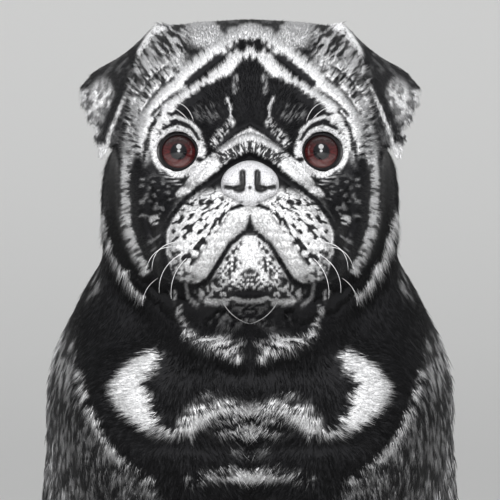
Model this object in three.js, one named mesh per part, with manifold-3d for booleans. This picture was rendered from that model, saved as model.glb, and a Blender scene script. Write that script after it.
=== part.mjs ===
// A sitting pug at life size, looking straight ahead, in millimetres.
// The floor is z = 0, the dog faces -Y, and its left side is +X.
// Every part of flesh is one field: muscles are ellipsoids and tapered rods that blend into each other,
// and the skin is the surface where the field is zero. Thin cuts then part the whole into named pieces.
import * as THREE from "three";
import { mergeVertices } from "three/addons/utils/BufferGeometryUtils.js";
import Module from "manifold-3d";

const wasm = await Module();
wasm.setup();

// Driving sizes.
const SIT_HEIGHT = 400; // floor to the flat of the crown
const HEAD_WIDTH = 131; // across the cheeks
const BODY_WIDTH = 220; // across the ribs
const EYE_SPACING = 71; // between the centres of the pupils
const EYE_DROP = 68; // eyes below the crown
const EYE_RADIUS = 11.6;
const GAP = 0.3; // between pieces that touch
const SIDE = [1, -1]; // left, right

const EYE = [EYE_SPACING / 2, -98, SIT_HEIGHT - EYE_DROP];
const CHEEK = HEAD_WIDTH / 2;
const RIB = BODY_WIDTH / 2;

// Fields. Each returns about how far a point lies outside a form. Points are taken on the left side.

const rad = THREE.MathUtils.degToRad;

// An ellipsoid at a centre, with half sizes along x, y and z, turned by degrees about x, y and z.
function ball(at, size, turn = [0, 0, 0]) {
  const m = new THREE.Matrix4().makeRotationFromEuler(new THREE.Euler(...turn.map(rad)));
  const [a, b, c, , d, e, f, , g, h, i] = m.elements;
  const [rx, ry, rz] = size;
  return (x, y, z) => {
    const px = x - at[0], py = y - at[1], pz = z - at[2];
    const u = (a * px + b * py + c * pz) / rx;
    const v = (d * px + e * py + f * pz) / ry;
    const w = (g * px + h * py + i * pz) / rz;
    const reach = Math.hypot(u, v, w);
    const slope = Math.hypot(u / rx, v / ry, w / rz);
    return slope < 1e-9 ? -Math.min(rx, ry, rz) : (reach * (reach - 1)) / slope;
  };
}

// A rod from one point to another, with a radius at each end.
function rod(from, to, r0, r1 = r0) {
  const d = to.map((v, i) => v - from[i]);
  const length2 = d[0] * d[0] + d[1] * d[1] + d[2] * d[2];
  return (x, y, z) => {
    const px = x - from[0], py = y - from[1], pz = z - from[2];
    const t = Math.min(1, Math.max(0, (px * d[0] + py * d[1] + pz * d[2]) / length2));
    return Math.hypot(px - d[0] * t, py - d[1] * t, pz - d[2] * t) - (r0 + (r1 - r0) * t);
  };
}

const softMin = (a, b, k) => {
  const h = Math.max(k - Math.abs(a - b), 0) / k;
  return Math.min(a, b) - (h * h * k) / 4;
};

// Forms melted together. Each row is a form, with its own blending width in millimetres.
function blend(rows) {
  return (x, y, z) => rows.reduce((sum, [form, k]) => softMin(sum, form(x, y, z), k), 1e3);
}

// One form with another hollowed out of it, with a soft edge.
function hollow(form, cut, k) {
  return (x, y, z) => -softMin(-form(x, y, z), cut(x, y, z), k);
}

const bothSides = (form) => (x, y, z) => form(Math.abs(x), y, z);

// Head.

const skull = [
  [ball([0, -58, SIT_HEIGHT - 47], [52, 54, 48]), 10],
  [ball([34, -60, SIT_HEIGHT - 37], [30, 40, 34]), 16],
  [ball([0, -82, SIT_HEIGHT - 48], [48, 32, 38]), 16],
  [ball([CHEEK - 22, -66, 334], [22, 38, 38]), 16],
  [ball([CHEEK - 24, -68, 306], [25, 38, 42]), 16],
  [ball([36, -42, 320], [35, 28, 38]), 16],
  [ball([0, -70, 276], [46, 38, 24]), 20],
  [ball([EYE[0] - 4, -100, EYE[2] + 19], [19, 12, 9], [0, 15, 0]), 10],
  [ball([EYE[0] + 5, -97, EYE[2] - 19], [18, 13, 12], [0, -10, 0]), 12],
];

const orbit = ball([EYE[0] + 0.5, EYE[1] - 12, EYE[2]], [12.5, 10, 11.5]);

const muzzle = [
  [ball([0, -112, 306], [29, 25, 18]), 12],
  [ball([26, -119, 291], [16.5, 23, 28], [0, -38, 0]), 6],
  [ball([35, -102, 287], [13, 22, 20], [0, -20, 0]), 8],
  [rod([0, -123, EYE[2] + 2], [18, -119.5, EYE[2] - 8], 6.5), 9],
  [rod([18, -119.5, EYE[2] - 8], [35, -110, EYE[2] - 26], 6.5, 5), 9],
];

const philtrum = rod([0, -146, 308], [0, -143, 292], 1.6);

const headField = bothSides(
  hollow(blend([[hollow(blend(skull), orbit, 6), 8], ...muzzle]), philtrum, 3),
);

const chinField = bothSides(
  blend([
    [ball([0, -113, 271], [25, 22, 15]), 8],
    [ball([0, -119, 281], [15, 17, 14]), 8],
  ]),
);

const noseField = bothSides(
  hollow(
    hollow(
      blend([
        [ball([0, -133, 317], [11, 10.5, 9.5]), 4],
        [ball([8.6, -133.5, 315.5], [5.2, 8, 6.8], [0, -12, 0]), 3],
        [ball([0, -134, 309], [6.5, 8, 5]), 4],
      ]),
      rod([4.2, -146, 319.5], [6.2, -140, 313], 1.9),
      1.2,
    ),
    rod([6.4, -145, 313.2], [13.5, -138, 314], 0.9),
    0.8,
  ),
);

// Neck and body.

const neck = [
  [rod([0, -40, 322], [0, 0, 258], 60, 72), 22],
  [ball([37, -50, 294], [37, 34, 36]), 18],
  [ball([37, -22, 318], [39, 34, 40]), 18],
  [ball([0, -80, 250], [48, 30, 20]), 16],
];

const trunk = [
  [ball([0, 14, 206], [RIB - 9, 82, 104], [-47, 0, 0]), 26],
  [ball([0, 58, 145], [RIB - 4, 82, 80]), 26],
  [ball([0, 96, 74], [78, 66, 78]), 26],
  [rod([0, 30, 240], [0, 90, 118], 72, 70), 26],
  [rod([RIB - 74, 24, 200], [RIB - 71, 58, 150], 66, 66), 26],
  [ball([0, -58, 212], [60, 40, 54], [8, 0, 0]), 22],
  [ball([58, -30, 224], [37, 44, 60], [-12, 0, 0]), 22],
  [rod([62, -64, 202], [54, -36, 152], 33, 27), 18],
];

const foreleg = [
  [rod([52, -40, 150], [46, -62, 48], 26, 18.5), 14],
  [rod([46, -62, 48], [46, -78, 20], 18.5, 16), 10],
];

const haunch = [
  [ball([83, 54, 80], [34, 70, 66], [12, 0, 0]), 14],
  [ball([90, -2, 80], [24, 28, 30]), 14],
  [rod([88, 84, 17], [88, 8, 15], 16, 13), 10],
];

// A paw of four toes, whose middle is at a place on the floor.
const TOE_SPREAD = 11;
function paw([cx, cy], scale, turn) {
  const place = (dx, dy, z) => {
    const [c, s] = [Math.cos(rad(turn)), Math.sin(rad(turn))];
    return [cx + scale * (dx * c - dy * s), cy + scale * (dx * s + dy * c), scale * z];
  };
  const size = (...half) => half.map((v) => v * scale);
  const toes = [-1.5, -0.5, 0.5, 1.5].map((n) => [
    ball(place(n * TOE_SPREAD, -28 + 5 * Math.abs(n), 10), size(6.6, 13, 10.6), [-8, 0, turn + n * 5]),
    3,
  ]);
  return [[ball(place(0, -4, 13), size(20, 25, 14), [0, 0, turn]), 10], ...toes];
}

const FOREPAW = { at: [46, -84], scale: 1, turn: 3 };
const HINDPAW = { at: [89, -14], scale: 0.96, turn: 12 };
const pawForms = (p) => paw(p.at, p.scale, p.turn);

// Nothing reaches below the floor.
const standing = (form) => (x, y, z) => Math.max(form(x, y, z), -z);

const bodyField = standing(bothSides(blend([...trunk, ...neck, [blend(skull), 18]])));
const foreField = standing(blend([...foreleg, ...pawForms(FOREPAW)]));
const hindField = standing(blend([...haunch, ...pawForms(HINDPAW)]));

// Solids.

// The closed surface of a field inside a box, with one vertex in each cell that the surface crosses.
// The box is centred on x = 0 where it holds both sides, so that the two sides match.
function skinOf(field, low, high, cell) {
  const n = low.map((v, i) => Math.ceil((high[i] - v) / cell) + 1);
  const start = low.map((v, i) => (v + high[i]) / 2 - ((n[i] - 1) * cell) / 2);
  const inBox = (x, y, z) => {
    const past = [x, y, z].map((v, i) => Math.max(low[i] - v, v - high[i]) + cell);
    return Math.max(...past);
  };
  const value = (x, y, z) => Math.max(field(x, y, z), inBox(x, y, z));
  const at = (i, j, k) => (k * n[1] + j) * n[0] + i;
  const grid = new Float64Array(n[0] * n[1] * n[2]);
  for (let k = 0; k < n[2]; k++)
    for (let j = 0; j < n[1]; j++)
      for (let i = 0; i < n[0]; i++)
        grid[at(i, j, k)] = value(start[0] + i * cell, start[1] + j * cell, start[2] + k * cell);

  const points = [];
  const vertexOf = new Map();
  const corners = [0, 1, 2, 3, 4, 5, 6, 7].map((c) => [c & 1, (c >> 1) & 1, c >> 2]);
  const steps = (p, q) => corners[p].filter((v, axis) => v !== corners[q][axis]).length;
  const edges = corners.flatMap((a, p) =>
    corners.map((b, q) => [p, q]).filter(([, q]) => p < q && steps(p, q) === 1),
  );
  for (let k = 0; k < n[2] - 1; k++)
    for (let j = 0; j < n[1] - 1; j++)
      for (let i = 0; i < n[0] - 1; i++) {
        const v = corners.map(([a, b, c]) => grid[at(i + a, j + b, k + c)]);
        const sum = new THREE.Vector3();
        let crossings = 0;
        for (const [p, q] of edges) {
          if (v[p] < 0 === v[q] < 0) continue;
          const t = v[p] / (v[p] - v[q]);
          const from = new THREE.Vector3(...corners[p]);
          sum.add(from.lerp(new THREE.Vector3(...corners[q]), t));
          crossings++;
        }
        if (!crossings) continue;
        vertexOf.set(at(i, j, k), points.length);
        sum.divideScalar(crossings).add(new THREE.Vector3(i, j, k));
        points.push(sum.multiplyScalar(cell).add(new THREE.Vector3(...start)));
      }

  // Each vertex slides along the slope of the field until it lies on the surface.
  const h = 0.05;
  for (const p of points) {
    const seat = p.clone();
    for (let step = 0; step < 3; step++) {
      const f = value(p.x, p.y, p.z);
      const slope = new THREE.Vector3(
        value(p.x + h, p.y, p.z) - value(p.x - h, p.y, p.z),
        value(p.x, p.y + h, p.z) - value(p.x, p.y - h, p.z),
        value(p.x, p.y, p.z + h) - value(p.x, p.y, p.z - h),
      ).divideScalar(2 * h);
      const length2 = slope.lengthSq();
      if (length2 < 0.05) break;
      p.addScaledVector(slope, -f / length2);
      p.sub(seat).clampLength(0, cell * 0.45).add(seat);
    }
  }

  const faces = [];
  const quad = (a, b, c, d, flip) => {
    const [p, q, r, s] = [a, b, c, d].map((c) => points[c]);
    const ring = flip ? [a, d, c, b] : [a, b, c, d];
    const first = p.distanceTo(r) <= q.distanceTo(s) ? 0 : 1;
    const [e, f, g, h] = [0, 1, 2, 3].map((i) => ring[(i + first) % 4]);
    faces.push(e, f, g, e, g, h);
  };
  for (let k = 1; k < n[2] - 1; k++)
    for (let j = 1; j < n[1] - 1; j++)
      for (let i = 1; i < n[0] - 1; i++) {
        const inside = grid[at(i, j, k)] < 0;
        const cellAt = (a, b, c) => vertexOf.get(at(i - a, j - b, k - c));
        if (inside !== grid[at(i + 1, j, k)] < 0)
          quad(cellAt(0, 1, 1), cellAt(0, 0, 1), cellAt(0, 0, 0), cellAt(0, 1, 0), !inside);
        if (inside !== grid[at(i, j + 1, k)] < 0)
          quad(cellAt(1, 0, 1), cellAt(1, 0, 0), cellAt(0, 0, 0), cellAt(0, 0, 1), !inside);
        if (inside !== grid[at(i, j, k + 1)] < 0)
          quad(cellAt(1, 1, 0), cellAt(0, 1, 0), cellAt(0, 0, 0), cellAt(1, 0, 0), !inside);
      }
  return solidFrom(points, faces);
}

function solidFrom(points, faces) {
  const geometry = new THREE.BufferGeometry().setFromPoints(points);
  return solid(geometry.setIndex(faces));
}

function solid(geometry) {
  const bare = new THREE.BufferGeometry().setAttribute("position", geometry.getAttribute("position"));
  if (geometry.index) bare.setIndex(geometry.index);
  const merged = mergeVertices(bare, 1e-3);
  return new wasm.Manifold(
    new wasm.Mesh({
      numProp: 3,
      vertProperties: new Float32Array(merged.attributes.position.array),
      triVerts: new Uint32Array(merged.index.array),
    }),
  );
}

// The largest closed body of a solid, as a geometry.
function geometryOf(made) {
  const bodies = made.decompose().sort((a, b) => b.volume() - a.volume());
  const mesh = bodies[0].getMesh();
  const geometry = new THREE.BufferGeometry();
  geometry.setAttribute("position", new THREE.BufferAttribute(mesh.vertProperties, 3));
  geometry.setIndex(new THREE.BufferAttribute(mesh.triVerts, 1));
  return geometry;
}

// A block of everything on the side of a plane that its normal points to.
function beyond(point, normal, shift = 0) {
  const size = 900;
  const n = new THREE.Vector3(...normal).normalize();
  const block = new THREE.BoxGeometry(size, size, size).translate(0, 0, size / 2 + shift);
  block.applyQuaternion(new THREE.Quaternion().setFromUnitVectors(new THREE.Vector3(0, 0, 1), n));
  return solid(block.translate(...point));
}

// The two sides of a thin cut along a plane: what the normal points to, and what it points away from.
function cut(point, normal) {
  const back = normal.map((v) => -v);
  return { ahead: beyond(point, normal, GAP / 2), behind: beyond(point, back, GAP / 2) };
}

const headCut = cut([0, -44, 312], [0, 0.82, -0.575]);
const neckCut = cut([0, -37, 258], [0, 0.5, -0.866]);
const foreCut = cut([46, -70, 36], [0, 0.25, -1]);
const hindCut = cut([89, 10, 20], [0, -0.6, -0.8]);

const outside = (form, distance) => (x, y, z) => form(x, y, z) - distance;
const mirror = (made) => made.mirror([1, 0, 0]);

const TRUNK_BOX = [[-145, -130, -20], [145, 190, 330]];
const bodySolid = skinOf(bodyField, ...TRUNK_BOX, 15.5);
const bodyGrown = skinOf(outside(bodyField, 0.8), ...TRUNK_BOX, 15.5);
const neckBody = skinOf(bodyField, [-120, -150, 190], [120, 70, 400], 11);
const torso = bodySolid.intersect(neckCut.ahead);
const neckSolid = neckBody.intersect(headCut.ahead).intersect(neckCut.behind);

// Eyes, lids, nose and jaw.

// An eyeball with its clear front, which stands a little ahead of the ball, grown by a distance.
function eyeGrown(distance) {
  const clearFront = [EYE[0] - 0.6, EYE[1] - 3.4, EYE[2]];
  const globe = new THREE.SphereGeometry(EYE_RADIUS + distance, 13, 9).translate(...EYE);
  const front = new THREE.SphereGeometry(EYE_RADIUS * 0.8 + distance, 13, 9).translate(...clearFront);
  return solid(globe).add(solid(front));
}

const eye = eyeGrown(0);
const socket = eyeGrown(0.5);

// The rim of the lids: a ring round the eye, thicker above, that leans out with the curve of the ball.
const LID = { radius: 11, thick: 2.7, front: -5.2, tall: 0.95, deep: 1.25, turn: 9, lift: 0.4 };
const lids = solid(
  new THREE.TorusGeometry(LID.radius, LID.thick, 6, 20)
    .scale(1, LID.tall, LID.deep)
    .rotateX(rad(90))
    .rotateZ(rad(LID.turn))
    .translate(EYE[0], EYE[1] + LID.front, EYE[2] + LID.lift),
);

const HEAD_BOX = [[-84, -160, 236], [84, 24, 412]];
const headBody = skinOf(headField, ...HEAD_BOX, 7.4);
const headGrown = skinOf(outside(headField, 0.7), ...HEAD_BOX, 7.4);
const NOSE_BOX = [[-17, -148, 298], [17, -118, 332]];
const nose = skinOf(noseField, ...NOSE_BOX, 2.5).subtract(headGrown);
const chin = skinOf(chinField, [-34, -144, 248], [34, -80, 302], 6);
const jaw = chin.subtract(headGrown).intersect(headCut.behind);

const head = headBody
  .add(lids)
  .add(mirror(lids))
  .subtract(socket)
  .subtract(mirror(socket))
  .intersect(headCut.behind);

// Ears. A leaf of skin runs from its root up to the fold and hangs from there to its tip.
// Each row: the middle of the leaf, half its width, the way its width runs, how far it cups.
const EAR = [
  { at: [50, -36, 368], half: 17, across: [0.25, 0.93, 0.1], cup: 8 },
  { at: [56, -38, 385], half: 20, across: [0.45, 0.78, -0.3], cup: 7 },
  { at: [61.5, -50, 387], half: 24, across: [0.74, 0.42, -0.53], cup: 4 },
  { at: [68.5, -69, 378], half: 23, across: [0.8, 0.15, -0.56], cup: 3 },
  { at: [72.3, -82, 364], half: 15.5, across: [0.87, 0.22, -0.43], cup: 3 },
  { at: [73.5, -88, 347], half: 8, across: [0.92, 0.25, -0.25], cup: 2 },
  { at: [72.5, -90, 328], half: 2.5, across: [1, 0.15, -0.1], cup: 0.5 },
];
const EAR_THICK = 3.2;
const EAR_LONG = 12; // faces from root to tip
const EAR_WIDE = 6; // faces across

// A value that runs smoothly through the rows, at a share of the way from the first to the last.
function along(rows, pick, t) {
  const curve = new THREE.CatmullRomCurve3(rows.map((r) => new THREE.Vector3(...pick(r))));
  return curve.getPoint(t);
}

function earLeaf() {
  const middle = (u, v) => {
    const c = along(EAR, (r) => r.at, u);
    const w = along(EAR, (r) => r.across, u).normalize();
    const [half, cup] = along(EAR, (r) => [r.half, r.cup, 0], u).toArray();
    const before = along(EAR, (r) => r.at, Math.max(0, u - 0.02));
    const ahead = along(EAR, (r) => r.at, Math.min(1, u + 0.02)).sub(before);
    const out = new THREE.Vector3().crossVectors(w, ahead).normalize();
    return c.addScaledVector(w, half * v).addScaledVector(out, cup * (1 - v * v));
  };
  const points = [];
  for (let i = 0; i <= EAR_LONG; i++)
    for (let j = 0; j <= EAR_WIDE; j++) {
      const [u, v] = [i / EAR_LONG, (2 * j) / EAR_WIDE - 1];
      const e = 0.01;
      const du = middle(Math.min(1, u + e), v).sub(middle(Math.max(0, u - e), v));
      const dv = middle(u, Math.min(1, v + e)).sub(middle(u, Math.max(-1, v - e)));
      const normal = du.cross(dv).normalize();
      const edge = 1 - 0.45 * v ** 4;
      const half = (EAR_THICK / 2) * edge * (1 - 0.35 * u);
      const p = middle(u, v);
      points.push(p.clone().addScaledVector(normal, half), p.clone().addScaledVector(normal, -half));
    }
  const id = (i, j, face) => 2 * (i * (EAR_WIDE + 1) + j) + face;
  const faces = [];
  const quad = (a, b, c, d) => faces.push(a, b, c, a, c, d);
  for (let i = 0; i < EAR_LONG; i++)
    for (let j = 0; j < EAR_WIDE; j++) {
      quad(id(i, j, 0), id(i + 1, j, 0), id(i + 1, j + 1, 0), id(i, j + 1, 0));
      quad(id(i, j, 1), id(i, j + 1, 1), id(i + 1, j + 1, 1), id(i + 1, j, 1));
    }
  for (let i = 0; i < EAR_LONG; i++) {
    quad(id(i, 0, 1), id(i + 1, 0, 1), id(i + 1, 0, 0), id(i, 0, 0));
    quad(id(i, EAR_WIDE, 0), id(i + 1, EAR_WIDE, 0), id(i + 1, EAR_WIDE, 1), id(i, EAR_WIDE, 1));
  }
  for (let j = 0; j < EAR_WIDE; j++) {
    quad(id(0, j, 0), id(0, j + 1, 0), id(0, j + 1, 1), id(0, j, 1));
    quad(id(EAR_LONG, j, 1), id(EAR_LONG, j + 1, 1), id(EAR_LONG, j + 1, 0), id(EAR_LONG, j, 0));
  }
  return solidFrom(points, faces);
}

const ear = earLeaf().subtract(headGrown);

// Tail: a tapered rope of flesh that curls up over the left hip and lies beside its own first turn.
const TAIL = { root: [0, 150, 104], hub: [0, 168, 142], turns: 1.12, big: 26, small: 14, drift: 32 };
const ROPE = { fat: 15, thin: 8.5, steps: 32, round: 9 };

function tailCurve() {
  const path = [new THREE.Vector3(0, 122, 84), new THREE.Vector3(...TAIL.root)];
  const hub = new THREE.Vector3(...TAIL.hub);
  const count = 16;
  for (let i = 1; i <= count; i++) {
    const t = i / count;
    const r = TAIL.big + (TAIL.small - TAIL.big) * t;
    const angle = rad(-62) + t * TAIL.turns * 2 * Math.PI;
    const turn = new THREE.Vector3(TAIL.drift * t, r * Math.cos(angle), r * Math.sin(angle));
    path.push(turn.add(hub));
  }
  return new THREE.CatmullRomCurve3(path, false, "centripetal");
}

// A closed tube along part of the tail, with rings that shrink towards the tip.
function tailTube(from, to) {
  const curve = tailCurve();
  const rings = Math.round((to - from) * ROPE.steps);
  const points = [];
  const up = new THREE.Vector3(1, 0, 0);
  for (let i = 0; i <= rings; i++) {
    const t = from + ((to - from) * i) / rings;
    const centre = curve.getPointAt(t);
    const ahead = curve.getTangentAt(t);
    const side = up.clone().addScaledVector(ahead, -up.dot(ahead)).normalize();
    const other = new THREE.Vector3().crossVectors(ahead, side);
    const tip = t > 0.94 ? Math.sqrt(Math.max(0.08, 1 - ((t - 0.94) / 0.06) ** 2)) : 1;
    const r = (ROPE.fat + (ROPE.thin - ROPE.fat) * t ** 1.5) * tip;
    for (let j = 0; j < ROPE.round; j++) {
      const a = (2 * Math.PI * j) / ROPE.round;
      const rim = side.clone().multiplyScalar(r * Math.cos(a)).addScaledVector(other, r * Math.sin(a));
      points.push(rim.add(centre));
    }
  }
  const last = points.length;
  points.push(curve.getPointAt(from), curve.getPointAt(to));
  const faces = [];
  for (let j = 0; j < ROPE.round; j++) {
    const next = (j + 1) % ROPE.round;
    for (let i = 0; i < rings; i++) {
      const [a, b] = [i * ROPE.round, (i + 1) * ROPE.round];
      faces.push(a + j, a + next, b + next, a + j, b + next, b + j);
    }
    const end = rings * ROPE.round;
    faces.push(last, next, j, last + 1, end + j, end + next);
  }
  return solidFrom(points, faces);
}

const TAIL_SPLIT = 0.52;
const tailBase = tailTube(0, TAIL_SPLIT).subtract(bodyGrown);
const tailTip = tailTube(TAIL_SPLIT + 0.002, 1).subtract(bodyGrown);

// Claws: short cones at the ends of the toes, pointing down and forward.
const CLAW_HEIGHT = 9.4;
function claws(p) {
  const made = [-1.5, -0.5, 0.5, 1.5].map((n) => {
    const [c, s] = [Math.cos(rad(p.turn)), Math.sin(rad(p.turn))];
    const [dx, dy] = [n * TOE_SPREAD, -28 + 5 * Math.abs(n) - 12];
    const cone = new THREE.ConeGeometry(2.6, 13, 5)
      .rotateX(rad(-90))
      .rotateX(rad(38))
      .rotateZ(rad(p.turn + n * 5));
    const tipX = p.at[0] + p.scale * (dx * c - dy * s);
    const tipY = p.at[1] + p.scale * (dx * s + dy * c);
    return solid(cone.translate(tipX, tipY, CLAW_HEIGHT));
  });
  return made.reduce((sum, claw) => sum.add(claw));
}

const forelegBody = skinOf(foreField, [0, -140, -20], [110, 20, 205], 9);
const forepawBody = skinOf(foreField, [8, -140, -12], [84, -30, 62], 6.3);
const hindlegBody = skinOf(hindField, [30, -80, -20], [150, 160, 175], 11);
const hindpawBody = skinOf(hindField, [48, -80, -12], [134, 30, 62], 6);
const forelegSolid = forelegBody.subtract(bodyGrown).intersect(foreCut.behind);
const forepawSolid = forepawBody.add(claws(FOREPAW)).intersect(foreCut.ahead);
const hindlegSolid = hindlegBody.subtract(bodyGrown).intersect(hindCut.behind);
const hindpawSolid = hindpawBody.subtract(bodyGrown).add(claws(HINDPAW)).intersect(hindCut.ahead);

// Materials and the finished dog.

const coat = new THREE.MeshStandardMaterial({ color: 0x1b1b1e, roughness: 0.6 });
const frost = new THREE.MeshStandardMaterial({ color: 0x8d8d90, roughness: 0.6 });
const leather = new THREE.MeshStandardMaterial({ color: 0xb9b9bb, roughness: 0.35 });
const iris = new THREE.MeshStandardMaterial({ color: 0x4a1518, roughness: 0.08 });

const pug = new THREE.Group();

function piece(name, made, material, side = 1) {
  const mesh = new THREE.Mesh(geometryOf(made), material);
  mesh.name = name;
  mesh.scale.x = side;
  pug.add(mesh);
}

piece("head", head, frost);
piece("jaw", jaw, frost);
piece("nose", nose, leather);
piece("neck", neckSolid, coat);
piece("torso", torso, coat);
piece("tail_base", tailBase, coat);
piece("tail_tip", tailTip, coat);
for (const side of SIDE) {
  const name = side > 0 ? "left" : "right";
  piece("eye_" + name, eye, iris, side);
  piece("ear_" + name, ear, coat, side);
  piece("foreleg_" + name, forelegSolid, coat, side);
  piece("forepaw_" + name, forepawSolid, coat, side);
  piece("hindleg_" + name, hindlegSolid, coat, side);
  piece("hindpaw_" + name, hindpawSolid, coat, side);
}

// The origin is on the floor under the middle of the dog.
const bounds = new THREE.Box3().setFromObject(pug);
pug.position.y = -(bounds.min.y + bounds.max.y) / 2;

export default pug;
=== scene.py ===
import math

import bmesh
import bpy
import numpy as np
from bpy.props import FloatProperty, FloatVectorProperty, IntProperty, PointerProperty
from mathutils import Matrix, Vector, kdtree
from mathutils.bvhtree import BVHTree


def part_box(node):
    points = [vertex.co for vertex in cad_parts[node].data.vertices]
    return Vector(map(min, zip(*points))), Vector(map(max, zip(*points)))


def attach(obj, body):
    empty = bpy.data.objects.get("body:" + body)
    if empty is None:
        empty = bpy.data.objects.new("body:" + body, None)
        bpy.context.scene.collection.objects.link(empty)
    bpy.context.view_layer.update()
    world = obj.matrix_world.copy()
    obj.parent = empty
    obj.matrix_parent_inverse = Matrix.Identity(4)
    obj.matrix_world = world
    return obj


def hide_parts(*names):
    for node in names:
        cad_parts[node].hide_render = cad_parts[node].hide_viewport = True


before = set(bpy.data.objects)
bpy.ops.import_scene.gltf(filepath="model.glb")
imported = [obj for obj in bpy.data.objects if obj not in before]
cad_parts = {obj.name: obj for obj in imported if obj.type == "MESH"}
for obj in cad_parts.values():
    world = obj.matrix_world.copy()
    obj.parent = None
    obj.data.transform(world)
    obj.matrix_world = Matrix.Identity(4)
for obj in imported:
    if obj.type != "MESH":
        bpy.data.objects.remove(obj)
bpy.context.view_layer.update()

bl_info = {
    "name": "Sitting Pug",
    "version": (1, 0, 0),
    "blender": (4, 5, 0),
    "location": "View3D > Sidebar > Pug",
    "description": "Skin, coat, eyes, nose, whiskers and claws of a black pug at life size",
    "category": "Add Mesh",
}

MM = 0.001
# Work in millimetres on axes whose zero lies where the eyes are drawn from: the eye node fixes it.
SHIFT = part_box("eye_left")[1][1] / MM + 86.4
EYE = (35.5, -98.0, 332.0)
# Hair on the face grows away from this point at the root of the nose.
HAIR_START = (0, -128, 318)
NOSE_Z = 316
# The map across the front of an eye is this wide, in millimetres.
GAZE_WIDTH = 24
# Each tuft takes a square of this size on the coat's unwrap.
TUFT_PATCH = 0.003
CAMERA_DISTANCE = 2200
VIEW_WIDTH = 250
SIDES = ("left", "right")
FLESH = ["head", "jaw", "neck", "torso", "tail_base", "tail_tip"]
FLESH += [f"{part}_{side}" for part in ("ear", "foreleg", "forepaw", "hindleg", "hindpaw") for side in SIDES]


def smooth(low, high, x):
    """0 below low, 1 above high, and a soft step between them."""
    t = np.clip((x - low) / (high - low), 0, 1)
    return t * t * (3 - 2 * t)


def distance_to(u, z, line):
    """How far points of the face lie from a drawn line, in millimetres."""
    best = np.full(u.shape, 1e9)
    for (a, b), (c, d) in zip(line, line[1:]):
        du, dz = c - a, d - b
        t = np.clip(((u - a) * du + (z - b) * dz) / (du * du + dz * dz), 0, 1)
        best = np.minimum(best, np.hypot(u - a - t * du, z - b - t * dz))
    return best


def band(u, z, line, half, soft=1.0):
    """1 within half a width of a line, fading over soft."""
    return 1 - smooth(half - soft, half + soft, distance_to(u, z, line))


def patch(u, z, centre, size, soft=0.35):
    """1 inside an ellipse on the face, fading over a share of its size."""
    r = np.hypot((u - centre[0]) / size[0], (z - centre[1]) / size[1])
    return 1 - smooth(1 - soft, 1 + soft, r)


def speckle(a, b, seed=0):
    """Soft random values from 0 to 1, one for each cell of a grid on two coordinates."""
    i, j = np.floor(a).astype(np.int64), np.floor(b).astype(np.int64)
    s, t = a - i, b - j
    s, t = s * s * (3 - 2 * s), t * t * (3 - 2 * t)

    def corner(di, dj):
        h = ((i + di) * 374761393 + (j + dj) * 668265263 + seed * 144269504) & 0x7FFFFFFF
        h = ((h ^ (h >> 13)) * 1274126177) & 0x7FFFFFFF
        return ((h ^ (h >> 16)) & 0xFFFF) / 65535.0

    near = corner(0, 0) * (1 - s) + corner(1, 0) * s
    far = corner(0, 1) * (1 - s) + corner(1, 1) * s
    return near * (1 - t) + far * t


# Lines of the left half of the face: millimetres out from the middle, then height above the floor.
FOLD_CREST = [(0, 340.5), (6.4, 337.8), (14, 332.5)]
FOLD_BODY = [(0, 335), (9, 331), (18, 324), (27, 317)]
FOLD_TOP = [(0, 346.5), (8, 343), (17, 335)]
FOLD_FOOT = [(0, 329.3), (8.6, 325.3), (15, 320), (26, 313), (32.5, 307.6), (38, 301)]
MUZZLE_SIDE = [(38, 301), (42.5, 293), (43, 282), (40, 272)]
ARC_IN = [
    (0, 382), (6.4, 379.7), (11, 374), (17, 368.5), (26, 362.6),
    (32.5, 357.5), (41, 352), (48, 345), (52, 335.8),
]
ARC_LENS = [(15, 379), (22, 373.5), (31, 366)]
BROW_DARK = [(3, 363), (12, 362.5), (20, 359.3), (28, 353.5), (34, 348)]
BROW_LINES = [
    [(36, 361.5), (43, 356.5), (49, 350)],
    [(38, 368.5), (46, 362.5), (53, 353)],
    [(47, 347), (52, 338), (53, 328)],
    [(44, 352), (50, 344), (51, 333)],
    [(41, 375), (50, 368), (57, 358)],
]
ARC_OUT = [(0, 393), (8.6, 390), (17.3, 382.4), (30.3, 371.5), (41, 363), (48.7, 354), (54, 342)]
MOUTH = [(0, 292.6), (3, 291.6), (9.7, 285.9), (15.1, 277.2), (20.5, 268.6), (27, 264.5)]
FLEW = [(5, 298), (12, 288), (18, 279), (23, 272)]
FRINGE = [(52, 375), (57.5, 356), (60.5, 338), (62.5, 316), (61.5, 295), (56.3, 281), (52, 273)]
RUFF = [(72, 300), (68.2, 286), (62.8, 273), (54, 262)]
THROAT = [(40, 264), (34.6, 251), (31, 240), (19, 236), (5.4, 229)]
CRESCENT = [(50, 229), (60, 222), (63, 213), (58, 204), (51, 196)]
SHOULDER_RIM_HIGHLIGHT = [(87, 220), (80.4, 201), (72.4, 185), (64.3, 175.6), (48, 163.6)]


class Tone:
    """How pale each of many points is, from 0 for black to 1 for silver white, painted over in turn."""

    def __init__(self, count, start):
        self.value = np.full(count, start)

    def paint(self, value, mask, strength=1.0):
        """Moves the tone to a value, fully where the mask is 1."""
        self.value = self.value + (value - self.value) * np.clip(mask * strength, 0, 1)


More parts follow.
